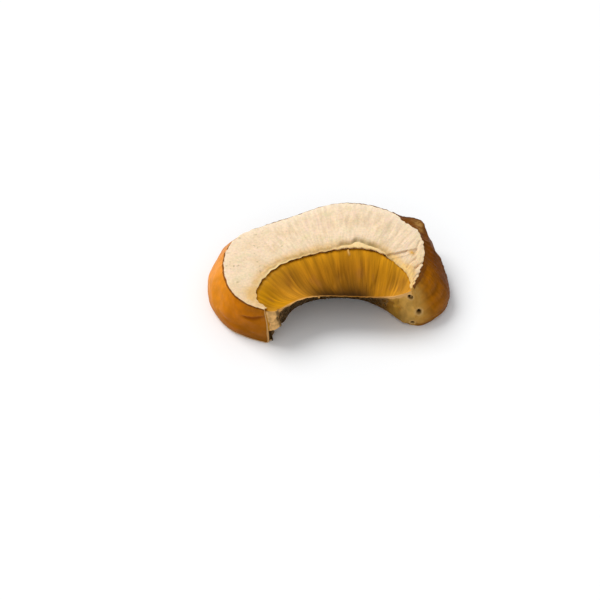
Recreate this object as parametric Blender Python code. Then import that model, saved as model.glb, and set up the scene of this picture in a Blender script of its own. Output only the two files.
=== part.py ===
"""A thick dried slice of porcini cap, lying on its larger cut face.

The slice is an arch of pale flesh with brown skin round its outside, and a layer of
tubes inside the arch that has shrunk below the cut faces. Both pieces are lofted as
bent blocks: along the arch, across it from the inside outwards, and up through the
thickness. The arch opens towards -Y, and the smaller cut face looks up.
"""

import math

import bmesh
import bpy
import numpy as np

# Driving dimensions, in millimetres. Blender's own lengths are in metres.
MM = 0.001
THICKNESS = 10.0
SEAM_GAP = 0.3
TUBE_BACK_HEIGHT = 0.4
TUBE_BACK_HOLLOW = 0.8
TUBE_SHRINKAGE = 2.1
TUBE_STEP_AT_SEAM = 0.5
TUBE_STEP_AT_PORES = 1.2
TUBE_RIDGE = 0.22
FLESH_CROWN = 0.3
FLESH_WARP = 0.45
PORE_FACE_HOLLOW = 1.6
SKIN_FOLD = 0.3
LEFT_DENT = 0.6
RIGHT_FLAP = 2.0
RIM_PUCKER = 0.2
DRAWING_CENTRE = (0.1, 5.2)

# Forms given by shares: how round the tips are, over how much of the thickness the skin
# spreads, and how far and from what height down it tucks in again at its lower edge.
TIP_ROUNDNESS = 0.8
SPREAD_HEIGHT = 0.8
TUCK = 0.05
TUCK_HEIGHT = 0.12

# Where the skin's dent and its flap are, along the arch and up, and how far they spread.
LEFT_DENT_PLACE = (0.06, 0.42)
LEFT_DENT_SPREAD = (0.05, 0.25)
RIGHT_FLAP_PLACE = (0.76, 0.87)
RIGHT_FLAP_SPREAD = (0.05, 0.13)

# Waves of the skin, of its upper rim and of the upper cut face, each with its weight.
FOLD_WAVES = ((61, 5, 0.0, 0.6), (103, -7, 1.3, 0.4))
RIM_WAVES = ((173, 0.0, 0.6), (307, 0.7, 0.4))
WARP_WAVES = ((1 / 7.5, 0.0, 0.8, 0.6), (-1 / 15.0, 1 / 6.0, 0.0, 0.4))

# Outlines from the left tip, over the top of the arch, to the right tip: x and y in millimetres.
OUTER_FRONT = (
    (-13.2, -9.8), (-16.1, -8.5), (-19.7, -5.0), (-21.4, 0.4), (-21.0, 5.6), (-18.5, 9.8),
    (-13.2, 12.9), (-7.1, 15.4), (-1.0, 18.0), (4.0, 18.9), (10.0, 18.0), (15.6, 15.2),
    (19.4, 11.2), (20.6, 6.0), (19.8, 1.3), (17.8, -4.2),
)
OUTER_BACK = (
    (-12.3, -11.5), (-16.7, -10.1), (-21.0, -7.6), (-24.7, -2.0), (-25.3, 3.2), (-23.6, 9.2),
    (-18.4, 14.6), (-11.0, 18.4), (-3.4, 20.9), (4.2, 21.9), (12.0, 20.2), (18.8, 16.6),
    (23.2, 11.0), (25.3, 4.0), (25.3, -1.4), (22.8, -5.2), (18.1, -7.8),
)
SEAM_FRONT = (
    (-12.6, -9.5), (-14.6, -7.6), (-14.9, -5.0), (-13.4, -1.6), (-10.2, 1.7), (-5.4, 3.9),
    (0.4, 5.5), (6.2, 6.2), (10.6, 5.3), (14.6, 2.3), (16.8, -0.8), (17.3, -4.3),
)
SEAM_BACK = (
    (-11.3, -10.5), (-15.4, -8.8), (-17.8, -4.2), (-16.4, 1.2), (-11.6, 5.6), (-4.2, 8.4),
    (5.0, 9.6), (12.4, 7.6), (17.6, 3.2), (19.2, -1.8), (17.2, -6.9),
)
PORES_FRONT = (
    (-10.5, -9.2), (-8.2, -7.9), (-5.2, -6.3), (-1.5, -5.6), (4.0, -5.7), (9.5, -6.0),
    (13.7, -5.8), (16.4, -4.9),
)
PORES_BACK = (
    (-9.4, -8.8), (-8.9, -5.6), (-7.2, -2.8), (-3.4, -0.6), (2.0, 0.2), (7.6, -0.4),
    (12.0, -2.8), (16.1, -6.5),
)

# How finely each piece is divided: along the arch, across it and through its thickness.
CAP_CELLS = (84, 6, 6)
TUBE_CELLS = (88, 6, 5)
CURVE_STEPS = 24


def smooth_curve(points, along):
    """Places on a centripetal Catmull-Rom curve, at the given shares of its length."""
    knots = np.array(points, float)
    knots = np.vstack([2 * knots[0] - knots[1], knots, 2 * knots[-1] - knots[-2]])
    traced = []
    for p0, p1, p2, p3 in zip(knots, knots[1:], knots[2:], knots[3:]):
        t1 = math.sqrt(np.linalg.norm(p1 - p0))
        t2 = t1 + math.sqrt(np.linalg.norm(p2 - p1))
        t3 = t2 + math.sqrt(np.linalg.norm(p3 - p2))
        t = np.linspace(t1, t2, CURVE_STEPS, endpoint=False)[:, None]
        a1 = p0 + (p1 - p0) * t / t1
        a2 = p1 + (p2 - p1) * (t - t1) / (t2 - t1)
        a3 = p2 + (p3 - p2) * (t - t2) / (t3 - t2)
        b1 = a1 + (a2 - a1) * t / t2
        b2 = a2 + (a3 - a2) * (t - t1) / (t3 - t1)
        traced.extend(b1 + (b2 - b1) * (t - t1) / (t2 - t1))
    traced = np.vstack([traced, knots[-2]])
    reach = np.concatenate([[0], np.cumsum(np.linalg.norm(np.diff(traced, axis=0), axis=1))])
    share = np.asarray(along) * reach[-1]
    return np.stack([np.interp(share, reach, traced[:, axis]) for axis in (0, 1)], axis=-1)


def mix(a, b, share):
    """The point a share of the way from a to b."""
    return a + (b - a) * share[..., None]


def bump(value, centre, width):
    """A smooth hump of height 1 at the centre, gone at one width either side."""
    distance = np.clip(np.abs(value - centre) / width, 0, 1)
    return (1 + np.cos(math.pi * distance)) / 2


def warp(place):
    """The slow rise and fall of the upper cut face, which curled a little as it dried."""
    x, y = place[..., 0], place[..., 1]
    return FLESH_WARP * sum(weight * np.sin(x * a + y * b + start) for a, b, start, weight in WARP_WAVES)


def at_height(place, height):
    """Points in space, in metres round the object's own origin."""
    flat = (place - np.array(DRAWING_CENTRE)) * MM
    return np.concatenate([flat, height[..., None] * MM], axis=-1)


def skin_flare(up):
    """How far the skin has spread from the upper outline to the lower one, by share of height."""
    spread = np.sin(math.pi / 2 * np.clip((1 - up) / SPREAD_HEIGHT, 0, 1)) ** 0.9
    return spread - TUCK * np.clip(1 - up / TUCK_HEIGHT, 0, 1)


def patch(along, up, place, spread):
    """A smooth hump on the skin, of height 1 at its place."""
    return bump(along, place[0], spread[0]) * bump(up, place[1], spread[1])


def skin_folds(along, up):
    """Shrinkage folds of the skin, in millimetres outwards."""
    waves = sum(weight * np.sin(along * a + up * b + start) for a, b, start, weight in FOLD_WAVES)
    left_dent = LEFT_DENT * patch(along, up, LEFT_DENT_PLACE, LEFT_DENT_SPREAD)
    right_flap = RIGHT_FLAP * patch(along, up, RIGHT_FLAP_PLACE, RIGHT_FLAP_SPREAD)
    return SKIN_FOLD * waves * bump(up, 0.55, 0.45) - left_dent + right_flap


def rim_pucker(along, up):
    """The uneven edge of the upper cut, where the drying flesh drew the skin in."""
    ripple = sum(weight * np.sin(along * a + start) for a, start, weight in RIM_WAVES)
    return RIM_PUCKER * ripple * np.clip(up * 4 - 3, 0, 1)


def end_round(along, across, inner, outer):
    """Pushes the middle of a piece's two end faces outwards, so that its tips are round."""
    tip = np.where(along <= 0, -1.0, np.where(along >= 1, 1.0, 0.0))
    near = smooth_curve(OUTER_BACK, np.clip(along - 0.02 * tip, 0, 1))
    away = (smooth_curve(OUTER_BACK, along) - near) * np.abs(tip)[..., None]
    away = away / np.maximum(np.linalg.norm(away, axis=-1, keepdims=True), 1e-9)
    reach = TIP_ROUNDNESS * np.linalg.norm(outer - inner, axis=-1) / 2
    return away * (reach * np.sin(math.pi * across) ** 0.5)[..., None]


def cap_point(along, across, up):
    """A point of the cap: across is 0 at the tubes and 1 at the skin, up is 0 at the back."""
    outer_front = smooth_curve(OUTER_FRONT, along)
    outer_back = smooth_curve(OUTER_BACK, along)
    skin = mix(outer_front, outer_back, skin_flare(up))
    outwards = outer_back - smooth_curve(SEAM_BACK, along)
    outwards = outwards / np.linalg.norm(outwards, axis=-1, keepdims=True)
    skin = skin + outwards * (skin_folds(along, up) + rim_pucker(along, up))[..., None]
    seam = mix(smooth_curve(SEAM_BACK, along), smooth_curve(SEAM_FRONT, along), up)
    place = mix(seam, skin, across) + end_round(along, across, seam, skin)
    crown = FLESH_CROWN * np.sin(math.pi * across)
    return at_height(place, up * (THICKNESS + crown + warp(place)))


def inward_of(curve, along):
    """Unit vectors across a curve, pointing to the inside of the arch."""
    step = smooth_curve(curve, np.clip(along + 0.01, 0, 1)) - smooth_curve(curve, np.clip(along - 0.01, 0, 1))
    step = step / np.linalg.norm(step, axis=-1, keepdims=True)
    return np.stack([step[..., 1], -step[..., 0]], axis=-1)


def tube_point(along, across, up):
    """A point of the tube layer: across is 0 at the flesh and 1 at the pores, up is 0 at the back."""
    seam_front = smooth_curve(SEAM_FRONT, along) + SEAM_GAP * inward_of(SEAM_FRONT, along)
    seam_back = smooth_curve(SEAM_BACK, along) + SEAM_GAP * inward_of(SEAM_BACK, along)
    seam = mix(seam_back, seam_front, up)
    pores = mix(smooth_curve(PORES_BACK, along), smooth_curve(PORES_FRONT, along), up)
    middle = np.sin(math.pi * np.clip(along, 0, 1)) ** 0.7
    pores = pores - PORE_FACE_HOLLOW * (np.sin(math.pi * up) * middle)[..., None] * inward_of(PORES_BACK, along)
    place = mix(seam, pores, across) + end_round(along, across, seam, pores)
    dish = TUBE_SHRINKAGE * bump(across, 0.6, 0.6) * middle
    step = TUBE_STEP_AT_SEAM + (TUBE_STEP_AT_PORES - TUBE_STEP_AT_SEAM) * across
    stations = np.round(along * TUBE_CELLS[0])
    ridge = TUBE_RIDGE * np.where(stations % 2 > 0, 1, -1) * bump(across, 0.5, 0.5)
    top = THICKNESS + warp(place) - step - dish + ridge * middle
    bottom = TUBE_BACK_HEIGHT + TUBE_BACK_HOLLOW * bump(across, 0.6, 0.6) * middle
    return at_height(place, bottom + (top - bottom) * up)


def block_quads(cells):
    """Corner keys of every quad on the six sides of a block, facing outwards."""
    quads = []
    for fixed, first, second in ((0, 1, 2), (1, 2, 0), (2, 0, 1)):
        for value in (0, cells[fixed]):
            for i in range(cells[first]):
                for j in range(cells[second]):
                    keys = []
                    for di, dj in ((0, 0), (1, 0), (1, 1), (0, 1)):
                        key = [0, 0, 0]
                        key[fixed], key[first], key[second] = value, i + di, j + dj
                        keys.append(tuple(key))
                    quads.append(keys if value else keys[::-1])
    return quads


def lofted_block(name, point_at, cells, material):
    """A closed block bent by point_at, with the given number of cells along, across and up."""
    quads = block_quads(cells)
    keys = sorted({key for quad in quads for key in quad})
    shape = bmesh.new()
    corners = {}
    for key, point in zip(keys, point_at(*(np.array(keys) / np.array(cells)).T)):
        corners[key] = shape.verts.new(point)
    for quad in quads:
        shape.faces.new([corners[key] for key in quad])
    bmesh.ops.recalc_face_normals(shape, faces=shape.faces)
    mesh = bpy.data.meshes.new(name)
    shape.to_mesh(mesh)
    shape.free()
    mesh.shade_smooth()
    mesh.set_sharp_from_angle(angle=math.radians(40))
    mesh.materials.append(material)
    block = bpy.data.objects.new(name, mesh)
    bpy.context.scene.collection.objects.link(block)
    return block


def matt_material(name, colour, roughness):
    """A dry, matt finish of one colour."""
    material = bpy.data.materials.new(name)
    material.use_nodes = True
    shader = material.node_tree.nodes["Principled BSDF"]
    shader.inputs["Base Color"].default_value = (*colour, 1.0)
    shader.inputs["Roughness"].default_value = roughness
    shader.inputs["Metallic"].default_value = 0.0
    return material


def clear_scene():
    """Removes what the scene holds, so that only the slice is in it."""
    for old in list(bpy.data.objects):
        bpy.data.objects.remove(old)


def main():
    clear_scene()
    flesh = matt_material("cream_flesh", (0.82, 0.63, 0.41), 0.8)
    tubes = matt_material("ochre_tubes", (0.44, 0.18, 0.02), 0.7)
    lofted_block("cap", cap_point, CAP_CELLS, flesh)
    lofted_block("tube_layer", tube_point, TUBE_CELLS, tubes)


main()
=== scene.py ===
"""The looks of a thick dried slice of porcini cap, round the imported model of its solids.

The slice is an arch that opens towards -Y. Its pale flesh carries brown skin round the
outside, and a shrunken layer of ochre tubes lies inside the arch. Each piece is a block
bent along the arch and divided finely. Large forms, such as the ledge over the tubes, the
fold at the right arm and the flap of skin, are set point by point. Pleats, strands, ribs,
wrinkles and pore mouths come from Geometry Nodes.

Lengths in this file are millimetres, up to the point where a mesh is made.
"""

from __future__ import annotations

import logging
import math
from dataclasses import dataclass, field
from enum import Enum
from functools import lru_cache

import bpy
import numpy as np
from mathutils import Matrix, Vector

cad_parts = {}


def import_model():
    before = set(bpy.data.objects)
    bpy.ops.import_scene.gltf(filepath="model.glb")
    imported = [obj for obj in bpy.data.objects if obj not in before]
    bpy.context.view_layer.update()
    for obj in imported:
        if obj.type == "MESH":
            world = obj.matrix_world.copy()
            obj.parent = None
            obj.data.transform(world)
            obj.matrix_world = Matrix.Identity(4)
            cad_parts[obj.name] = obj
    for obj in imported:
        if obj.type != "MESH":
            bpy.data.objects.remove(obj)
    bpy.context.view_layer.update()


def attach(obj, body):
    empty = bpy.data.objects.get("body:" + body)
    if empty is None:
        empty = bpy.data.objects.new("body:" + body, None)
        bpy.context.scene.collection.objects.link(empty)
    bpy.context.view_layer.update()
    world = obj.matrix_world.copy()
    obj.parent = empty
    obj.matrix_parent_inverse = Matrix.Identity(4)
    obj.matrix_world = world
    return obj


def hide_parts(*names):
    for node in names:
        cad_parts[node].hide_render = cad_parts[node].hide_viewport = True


LOG = logging.getLogger("porcini_slice")
MM = 0.001
BODY = "root"

Points = tuple[tuple[float, float], ...]
Array = np.ndarray


# The slice's drawing, shared by its pieces


@lru_cache(maxsize=None)
def traced(points: Points, steps: int = 24) -> tuple[Array, Array]:
    """Traces a centripetal Catmull-Rom curve through points.

    Args:
        points: The curve's own points, x and y.
        steps: How many places are traced between two points.

    Returns:
        The traced places, and how far along the curve each one is.
    """
    knots = np.array(points, float)
    knots = np.vstack([2 * knots[0] - knots[1], knots, 2 * knots[-1] - knots[-2]])
    places = []
    for p0, p1, p2, p3 in zip(knots, knots[1:], knots[2:], knots[3:]):
        t1 = math.sqrt(np.linalg.norm(p1 - p0))
        t2 = t1 + math.sqrt(np.linalg.norm(p2 - p1))
        t3 = t2 + math.sqrt(np.linalg.norm(p3 - p2))
        t = np.linspace(t1, t2, steps, endpoint=False)[:, None]
        a1 = p0 + (p1 - p0) * t / t1
        a2 = p1 + (p2 - p1) * (t - t1) / (t2 - t1)
        a3 = p2 + (p3 - p2) * (t - t2) / (t3 - t2)
        b1 = a1 + (a2 - a1) * t / t2
        b2 = a2 + (a3 - a2) * (t - t1) / (t3 - t1)
        places.extend(b1 + (b2 - b1) * (t - t1) / (t2 - t1))
    traced_places = np.vstack([places, knots[-2]])
    steps_taken = np.linalg.norm(np.diff(traced_places, axis=0), axis=1)
    return traced_places, np.concatenate([[0], np.cumsum(steps_taken)])


@dataclass(frozen=True)
class Outline:
    """A smooth line of the drawing, from the left tip over the arch to the right tip."""

    points: Points

    @property
    def length(self) -> float:
        """The line's whole length."""
        return float(traced(self.points)[1][-1])

    def at(self, along: Array) -> Array:
        """The places at the given shares of the line's length."""
        places, reach = traced(self.points)
        share = np.asarray(along) * reach[-1]
        return np.stack([np.interp(share, reach, places[:, axis]) for axis in (0, 1)], axis=-1)

    def inward(self, along: Array) -> Array:
        """Unit vectors across the line, to the inside of the arch."""
        step = self.at(np.clip(along + 0.01, 0, 1)) - self.at(np.clip(along - 0.01, 0, 1))
        step = step / np.linalg.norm(step, axis=-1, keepdims=True)
        return np.stack([step[..., 1], -step[..., 0]], axis=-1)

    def distance(self, places: Array) -> Array:
        """How far places are from the line, positive on the side that inward points away from."""
        line, _ = traced(self.points, 8)
        nearest = np.full(len(places), np.inf)
        signed = np.zeros(len(places))
        for a, b in zip(line[:-1], line[1:]):
            step = b - a
            share = np.clip((places - a) @ step / (step @ step), 0, 1)
            gap = places - (a + share[:, None] * step)
            far = np.linalg.norm(gap, axis=1)
            side = np.sign(step[0] * gap[:, 1] - step[1] * gap[:, 0])
            closer = far < nearest
            nearest = np.where(closer, far, nearest)
            signed = np.where(closer, far * side, signed)
        return signed


def mix(a: Array, b: Array, share: Array) -> Array:
    """The places a share of the way from a to b."""
    return a + (b - a) * share[..., None]


def bump(value: Array, centre: float, width: float) -> Array:
    """A smooth hump of height 1 at the centre, gone at one width either side."""
    distance = np.clip(np.abs(value - centre) / width, 0, 1)
    return (1 + np.cos(math.pi * distance)) / 2


def ease(value: Array, start: float, end: float) -> Array:
    """Rises smoothly from 0 at start to 1 at end."""
    share = np.clip((value - start) / (end - start), 0, 1)
    return share * share * (3 - 2 * share)


def wander(places: Array, size: float, seed: int, count: int = 12) -> Array:
    """A smooth random field between -1 and 1.

    Args:
        places: One number for each point, or a row of them.
        size: The usual length of its waves.
        seed: Fixes the waves.
        count: How many plane waves are added up.

    Returns:
        The field's value at each place.
    """
    places = np.atleast_2d(np.asarray(places, float).T).T
    rng = np.random.default_rng(seed)
    total = np.zeros(len(places))
    for _ in range(count):
        heading = rng.normal(size=places.shape[1])
        heading /= np.linalg.norm(heading) * size * rng.uniform(0.65, 1.6)
        total += np.sin(places @ heading * 2 * math.pi + rng.uniform(0, 2 * math.pi))
    return np.clip(total / math.sqrt(count / 2) / 1.7, -1, 1)


@dataclass(frozen=True)
class Fold:
    """A narrow valley along a line."""

    line: Outline
    width: float
    depth: float

    def valley(self, places: Array) -> Array:
        """How deep the fold is at each place."""
        return self.depth * np.exp(-((self.line.distance(places) / self.width) ** 2))


@dataclass(frozen=True)
class Hole:
    """A small hole that an insect left: its place in the drawing and its sizes."""

    place: tuple[float, float, float]
    radius: float
    depth: float

    def within(self, points: Array, spread: float = 1.0) -> Array:
        """How far each point is inside the hole, from 0 outside to 1."""
        away = np.linalg.norm(points - np.array(self.place), axis=1)
        return 1 - ease(away, 0.5 * self.radius * spread, 1.25 * self.radius * spread)


@dataclass(frozen=True)
class Drawing:
    """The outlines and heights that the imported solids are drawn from."""

    centre: tuple[float, float] = (0.1, 5.2)
    thickness: float = 10.0
    flesh_warp: float = 0.45
    tip_round: tuple[float, float] = (0.9, 2.6)
    holes: tuple[Hole, ...] = (
        Hole((17.0, -4.8, 7.56), 0.36, 0.8), Hole((17.36, -4.92, 7.43), 0.36, 0.8),
        Hole((19.07, -6.36, 4.37), 0.58, 1.0), Hole((17.87, -6.78, 1.26), 0.42, 0.8),
    )
    outer_front: Outline = Outline((
        (-13.2, -9.8), (-16.1, -8.5), (-19.7, -5.0), (-21.4, 0.4), (-21.0, 5.6), (-18.5, 9.8),
        (-13.2, 12.9), (-7.1, 15.4), (-1.0, 18.0), (4.0, 18.9), (10.0, 18.0), (15.6, 15.2),
        (19.4, 11.2), (20.6, 6.0), (19.8, 1.3), (17.8, -4.2),
    ))
    outer_back: Outline = Outline((
        (-12.3, -11.5), (-16.7, -10.1), (-21.0, -7.6), (-24.7, -2.0), (-25.3, 3.2), (-23.6, 9.2),
        (-18.4, 14.6), (-11.0, 18.4), (-3.4, 20.9), (4.2, 21.9), (12.0, 20.2), (18.8, 16.6),
        (23.2, 11.0), (25.3, 4.0), (25.3, -1.4), (22.8, -5.2), (18.1, -7.8),
    ))
    seam_front: Outline = Outline((
        (-12.6, -9.5), (-14.6, -7.6), (-14.9, -5.0), (-13.4, -1.6), (-10.2, 1.7), (-5.4, 3.9),
        (0.4, 5.5), (6.2, 6.2), (10.6, 5.3), (14.6, 2.3), (16.8, -0.8), (17.3, -4.3),
    ))
    seam_back: Outline = Outline((
        (-11.3, -10.5), (-15.4, -8.8), (-17.8, -4.2), (-16.4, 1.2), (-11.6, 5.6), (-4.2, 8.4),
        (5.0, 9.6), (12.4, 7.6), (17.6, 3.2), (19.2, -1.8), (17.2, -6.9),
    ))
    pores_front: Outline = Outline((
        (-10.5, -9.2), (-8.2, -7.9), (-5.2, -6.3), (-1.5, -5.6), (4.0, -5.7), (9.5, -6.0),
        (13.7, -5.8), (16.4, -4.9),
    ))
    pores_back: Outline = Outline((
        (-9.4, -8.8), (-8.9, -5.6), (-7.2, -2.8), (-3.4, -0.6), (2.0, 0.2), (7.6, -0.4),
        (12.0, -2.8), (16.1, -6.5),
    ))

    def warp(self, place: Array) -> Array:
        """The slow rise and fall of the upper cut face, which curled a little as it dried."""
        x, y = place[..., 0], place[..., 1]
        slow = np.sin(x / 7.5 + 0.8) * 0.6 + np.sin(y / 6.0 - x / 15.0) * 0.4
        return self.flesh_warp * slow

    def end_round(
        self, along: Array, across: Array, inner: Array, outer: Array, bulge: tuple[float, float]
    ) -> Array:
        """Bulges a piece's two end faces outwards, so that its tips are round.

        Args:
            along: The share along the arch of each point.
            across: The share across it.
            inner: The point's row where it meets the inner side.
            outer: The point's row where it meets the outer side.
            bulge: How far the left and the right end bulge, as a share of a half circle.

        Returns:
            How far each point moves in the drawing.
        """
        tip = np.where(along <= 0, -1.0, np.where(along >= 1, 1.0, 0.0))
        near = self.outer_back.at(np.clip(along - 0.02 * tip, 0, 1))
        away = (self.outer_back.at(along) - near) * np.abs(tip)[..., None]
        away = away / np.maximum(np.linalg.norm(away, axis=-1, keepdims=True), 1e-9)
        reach = np.where(tip < 0, bulge[0], bulge[1]) * np.linalg.norm(outer - inner, axis=-1) / 2
        return away * (reach * np.sin(math.pi * across) ** 0.5)[..., None]

    def heading(self, along: Array) -> Array:
        """Unit vectors along the arch, from its left tip towards its right one."""
        ahead, behind = np.clip(along + 0.01, 0, 1), np.clip(along - 0.01, 0, 1)
        step = self.outer_back.at(ahead) - self.outer_back.at(behind)
        return step / np.linalg.norm(step, axis=-1, keepdims=True)

    def skin(self, along: Array, up: Array) -> Array:
        """The skin's own line, which spreads from the upper outline to the lower one."""
        spread = np.sin(math.pi / 2 * np.clip((1 - up) / 0.8, 0, 1)) ** 0.9
        spread = spread - 0.05 * np.clip(0.12 - up, 0, 1) / 0.12
        return mix(self.outer_front.at(along), self.outer_back.at(along), spread)

    def rounded_tips(self, points: Array) -> Array:
        """Rounds the upright corners of both tips, where the skin meets their end faces.

        Args:
            points: Points round the object's own origin.

        Returns:
            The points, those in a corner's square moved into a quarter disc.
        """
        moved = points.copy()
        level = np.clip(points[:, 2] / self.thickness, 0, 1)
        for tip, direction, size in ((0.0, -1.0, self.tip_round[0]), (1.0, 1.0, self.tip_round[1])):
            along = np.full_like(level, tip)
            heading = self.heading(along)
            ahead = heading * direction
            outwards = np.stack([-heading[:, 1], heading[:, 0]], axis=-1)
            radius = np.maximum(size * (1 - ease(level, 0.78, 0.98)), 1e-3)
            inside = self.skin(along, level) - np.array(self.centre) - points[:, :2]
            to_end = 1 - np.einsum("ij,ij->i", inside, ahead) / radius
            to_skin = 1 - np.einsum("ij,ij->i", inside, outwards) / radius
            end_share, skin_share = np.clip(to_end, 0, 1), np.clip(to_skin, 0, 1)
            less_end = radius * np.maximum(to_end, 0) * (1 - np.sqrt(1 - skin_share ** 2 / 2))
            less_skin = radius * np.maximum(to_skin, 0) * (1 - np.sqrt(1 - end_share ** 2 / 2))
            moved[:, :2] -= ahead * less_end[:, None] + outwards * less_skin[:, None]
        return moved

    def bored(self, points: Array) -> dict[str, Array]:
        """The attributes of the insect holes, for points round the object's own origin."""
        places = points + np.array((*self.centre, 0.0))
        depth = sum(hole.within(places) * hole.depth for hole in self.holes)
        # hole: where painted shade darkens the inside of the holes
        dark = np.clip(sum(hole.within(places, 1.1) for hole in self.holes), 0, 1)
        ring = np.clip(sum(hole.within(places, 1.9) for hole in self.holes), 0, 1)
        return {"holes": np.clip(depth, 0, 1), "hole": dark, "hole_rim": 0.8 * ring * (1 - dark)}

    def in_space(self, place: Array, height: Array) -> Array:
        """Points round the object's own origin, in millimetres."""
        return np.concatenate([place - np.array(self.centre), height[..., None]], axis=-1)


# Meshes


@dataclass(frozen=True)
class Block:
    """A closed box of quads, to be bent: cells along the arch, across it and up."""

    cells: tuple[int, int, int]
    crowding: tuple[float, float, float]

    def shares(self, axis: int) -> Array:
        """Where the divisions of one axis are, closer together near both ends."""
        even = np.linspace(0, 1, self.cells[axis] + 1)
        return even - self.crowding[axis] * np.sin(2 * math.pi * even) / (2 * math.pi)

    def lattice(self) -> tuple[Array, Array, Array]:
        """Lays out the box.

        Returns:
            The shares along, across and up of every corner, the four corners of every
            quad, and the side that each quad is on.
        """
        shell = np.zeros([count + 1 for count in self.cells], bool)
        shell[[0, -1]] = True
        shell[:, [0, -1]] = True
        shell[:, :, [0, -1]] = True
        numbers = np.full(shell.shape, -1)
        numbers[shell] = np.arange(shell.sum())
        keys = np.argwhere(shell)
        shares = np.stack([self.shares(axis)[keys[:, axis]] for axis in range(3)], axis=-1)
        quads, sides = [], []
        for axis in range(3):
            for end in (0, 1):
                grid = np.take(numbers, -end, axis=axis)
                if (end == 0) != (axis == 1):
                    grid = grid[::-1]
                corners = (grid[:-1, :-1], grid[1:, :-1], grid[1:, 1:], grid[:-1, 1:])
                quads.append(np.stack([corner.ravel() for corner in corners], axis=-1))
                sides.append(np.full(len(quads[-1]), 2 * axis + end))
        return shares, np.vstack(quads), np.concatenate(sides)


def softened(points: Array, quads: Array, weight: Array, passes: int) -> Array:
    """Rounds a mesh's edges by moving points towards their neighbours.

    Args:
        points: The mesh's points.
        quads: The four corners of each quad.
        weight: How much each point moves in one pass, from 0 to 1.
        passes: How often it is done.

    Returns:
        The moved points.
    """
    starts = quads.ravel()
    ends = np.roll(quads, -1, axis=1).ravel()
    count = np.maximum(np.bincount(starts, minlength=len(points)), 1)
    for _ in range(passes):
        sums = [np.bincount(starts, points[ends, axis], len(points)) for axis in range(3)]
        points = points + (np.stack(sums, axis=-1) / count[:, None] - points) * weight[:, None]
    return points


def outward_quads(points: Array, quads: Array) -> Array:
    """The quads, turned round if the closed mesh they make is inside out."""
    a, b, c, d = (points[quads[:, corner]] for corner in range(4))
    volume = np.einsum("ij,ij->", a, np.cross(b, c) + np.cross(c, d))
    return quads if volume > 0 else quads[:, ::-1]


def mesh_object(name: str, points: Array, quads: Array, values: dict[str, Array]) -> bpy.types.Object:
    """Makes a smooth mesh object.

    Args:
        name: The object's name.
        points: Its points, in millimetres.
        quads: The corners of its faces.
        values: Attributes of the points by name, single numbers or vectors.

    Returns:
        The object, linked to the scene.
    """
    mesh = bpy.data.meshes.new(name)
    mesh.from_pydata((points * MM).tolist(), [], quads.tolist())
    for label, value in values.items():
        kind = ("FLOAT", "value") if value.ndim == 1 else ("FLOAT_VECTOR", "vector")
        layer = mesh.attributes.new(label, kind[0], "POINT")
        layer.data.foreach_set(kind[1], value.astype(np.float32).ravel())
    mesh.shade_smooth()
    mesh.update()
    made = bpy.data.objects.new(name, mesh)
    bpy.context.scene.collection.objects.link(made)
    return made


# Node trees


Socket = bpy.types.NodeSocket


@dataclass
class Nodes:
    """A thin layer over a node tree, so that a tree reads as a list of steps."""

    tree: bpy.types.NodeTree

    def add(self, kind: str, settings: dict[str, object] | None = None, **inputs: object) -> bpy.types.Node:
        """Adds a node.

        Args:
            kind: Blender's name for the node type.
            settings: The node's own properties.
            inputs: Values or sockets for its inputs, spaces written as underscores.

        Returns:
            The new node.
        """
        node = self.tree.nodes.new(kind)
        for label, value in (settings or {}).items():
            setattr(node, label, value)
        for label, value in inputs.items():
            self.feed(node, label.replace("_", " "), value)
        return node

    def feed(self, node: bpy.types.Node, label: str | int, value: object) -> None:
        """Sets one input of a node, by a link if the value is a socket."""
        socket = node.inputs[label]
        if isinstance(value, Socket):
            self.tree.links.new(value, socket)
        else:
            socket.default_value = value

    def math(self, operation: str, *values: object) -> Socket:
        """A Math node's result."""
        kind = "ShaderNodeMath"
        node = self.add(kind, {"operation": operation})
        for place, value in enumerate(values):
            self.feed(node, place, value)
        return node.outputs[0]

    def combine(self, x: object, y: object, z: object) -> Socket:
        """A vector made of three numbers."""
        return self.add("ShaderNodeCombineXYZ", X=x, Y=y, Z=z).outputs[0]

    def separate(self, vector: Socket) -> tuple[Socket, Socket, Socket]:
        """The three numbers of a vector."""
        node = self.add("ShaderNodeSeparateXYZ", Vector=vector)
        return node.outputs[0], node.outputs[1], node.outputs[2]

    def remap(self, value: Socket, low: float, high: float, start: float = 0.0, end: float = 1.0) -> Socket:
        """A number moved from one range to another, held within the second, smoothly."""
        node = self.add("ShaderNodeMapRange", {"interpolation_type": "SMOOTHSTEP"})
        for place, item in enumerate((value, low, high, start, end)):
            self.feed(node, place, item)
        return node.outputs[0]


class Relief(Enum):
    """How a layer of relief is cut."""

    SOFT = "rolling waves"
    FOLDED = "rounded folds that meet in narrow valleys"
    GROOVED = "narrow grooves in a smooth face"
    PLAIN = "as deep as its mask says"


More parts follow.
